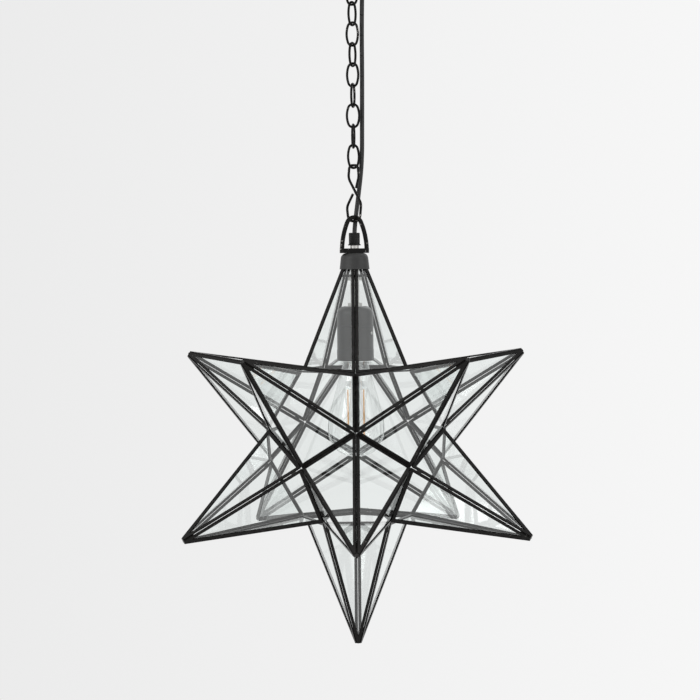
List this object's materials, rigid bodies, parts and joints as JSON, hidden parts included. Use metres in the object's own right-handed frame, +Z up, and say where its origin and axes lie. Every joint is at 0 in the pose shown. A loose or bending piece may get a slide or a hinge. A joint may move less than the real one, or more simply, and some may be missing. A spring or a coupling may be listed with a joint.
{
  "type": "pendant light",
  "caption": "Star-shaped pendant light of framed clear glass points on a chain, with a filament bulb inside and a hinged point at the back.",
  "frame": {"origin": "centre of the bracket top face, on the ceiling", "axes": "+Z up, -Y towards the viewer of the picture, +X to the right in the picture"},
  "size_m": [0.3988, 0.4184, 0.8191],
  "materials": {
    "black_glass": "black insulator with contact",
    "black_metal": "satin, near-black with worn spots",
    "block_plastic": "terminal block",
    "brass": "bare brass",
    "bulb_glass": "clear blown glass",
    "came": "blackened metal channel, satin",
    "cap_grey": "dark grey satin",
    "cap_nickel": "rolled screw shell",
    "ceramic": "off-white socket insert",
    "clear_glass": "clear float glass",
    "cord_black": "black sheath",
    "core_insulation": "insulated cores",
    "filament": "coated filament rods",
    "holder_black": "dark grey satin thermoset",
    "solder": "blackened solder, satin",
    "zinc": "zinc plated"
  },
  "bodies": {
    "ceiling_mount": {"ceiling_bracket": "zinc", "canopy": "black_metal", "ceiling_hook": "black_metal", "hook_nut": "zinc", "canopy_collar": "black_metal", "cord_bush": "holder_black", "terminal_block": "block_plastic", "supply_cord": "cord_black"},
    "link_01": {"chain_link_01": "black_metal"},
    "link_02": {"chain_link_02": "black_metal"},
    "link_03": {"chain_link_03": "black_metal"},
    "link_04": {"chain_link_04": "black_metal"},
    "link_05": {"chain_link_05": "black_metal"},
    "link_06": {"chain_link_06": "black_metal"},
    "link_07": {"chain_link_07": "black_metal"},
    "link_08": {"chain_link_08": "black_metal"},
    "link_09": {"chain_link_09": "black_metal"},
    "s_hook": {"s_hook": "black_metal"},
    "star": {"hanging_loop": "black_metal", "cord_grip_body": "holder_black", "cord_grip_ring": "holder_black", "threaded_tube": "zinc", "tube_locknuts": "zinc", "core_wires": "core_insulation", "star_cap": "cap_grey", "hanger_plate": "black_metal", "lampholder_cap": "holder_black", "lampholder_shell": "holder_black", "lampholder_ring": "holder_black", "lampholder_insert": "ceramic", "lampholder_contacts": "brass", "frame_top": "came", "frame_bottom": "came", "frame_upper_front_left": "came", "frame_upper_front_right": "came", "frame_upper_left": "came", "frame_upper_right": "came", "frame_lower_front": "came", "frame_lower_left": "came", "frame_lower_right": "came", "frame_lower_back_left": "came", "frame_lower_back_right": "came", "glass_upper_points": "clear_glass", "glass_lower_points": "clear_glass", "glass_bottom_point": "clear_glass", "ridge_and_tip_solder": "solder", "valley_solder": "solder", "hinge_leaf_fixed": "black_metal", "hinge_pin": "black_metal"},
    "door": {"frame_door": "came", "glass_door": "clear_glass", "door_solder": "solder", "hinge_leaf_door": "black_metal", "door_pull": "black_metal"},
    "bulb": {"bulb_glass": "bulb_glass", "bulb_screw_cap": "cap_nickel", "bulb_contact": "black_glass", "bulb_stem": "bulb_glass", "bulb_filaments": "filament"}
  },
  "joints": [
    {"name": "link_01_swing", "type": "hinge", "parent": "ceiling_mount", "child": "link_01", "pos_m": [0, 0, -0.057], "axis": [0, 1, 0], "range_deg": [-8, 8], "deforming": ["supply_cord"]},
    {"name": "link_02_swing", "type": "hinge", "parent": "link_01", "child": "link_02", "pos_m": [0, 0, -0.0801], "axis": [0.9063, -0.4226, 0], "range_deg": [-8, 8]},
    {"name": "link_03_swing", "type": "hinge", "parent": "link_02", "child": "link_03", "pos_m": [0, 0, -0.10355], "axis": [0.5736, 0.8192, 0], "range_deg": [-8, 8]},
    {"name": "link_04_swing", "type": "hinge", "parent": "link_03", "child": "link_04", "pos_m": [0, 0, -0.127], "axis": [0.9205, -0.3907, 0], "range_deg": [-8, 8]},
    {"name": "link_05_swing", "type": "hinge", "parent": "link_04", "child": "link_05", "pos_m": [0, 0, -0.15045], "axis": [0.4848, 0.8746, 0], "range_deg": [-8, 8]},
    {"name": "link_06_swing", "type": "hinge", "parent": "link_05", "child": "link_06", "pos_m": [0, 0, -0.1739], "axis": [0.9063, -0.4226, 0], "range_deg": [-8, 8]},
    {"name": "link_07_swing", "type": "hinge", "parent": "link_06", "child": "link_07", "pos_m": [0, 0, -0.19735], "axis": [0.2588, 0.9659, 0], "range_deg": [-8, 8]},
    {"name": "link_08_swing", "type": "hinge", "parent": "link_07", "child": "link_08", "pos_m": [0, 0, -0.2208], "axis": [1, 0, 0], "range_deg": [-8, 8]},
    {"name": "link_09_swing", "type": "hinge", "parent": "link_08", "child": "link_09", "pos_m": [0, 0, -0.24425], "axis": [-0.1736, 0.9848, 0], "range_deg": [-8, 8]},
    {"name": "s_hook_swing", "type": "hinge", "parent": "link_09", "child": "s_hook", "pos_m": [0, 0, -0.2677], "axis": [0.8746, 0.4848, 0], "range_deg": [-8, 8]},
    {"name": "star_swing", "type": "hinge", "parent": "s_hook", "child": "star", "pos_m": [0, 0, -0.329], "axis": [0.788, -0.6157, 0], "range_deg": [-8, 8]},
    {"name": "door_hinge", "type": "hinge", "parent": "star", "child": "door", "pos_m": [0, 0.05493, -0.4981], "axis": [1, 0, 0], "range_deg": [0, 80]},
    {"name": "bulb_slide", "type": "slide", "parent": "star", "child": "bulb", "axis": [0, 0, -1], "range_m": [0, 0.028]}
  ]
}
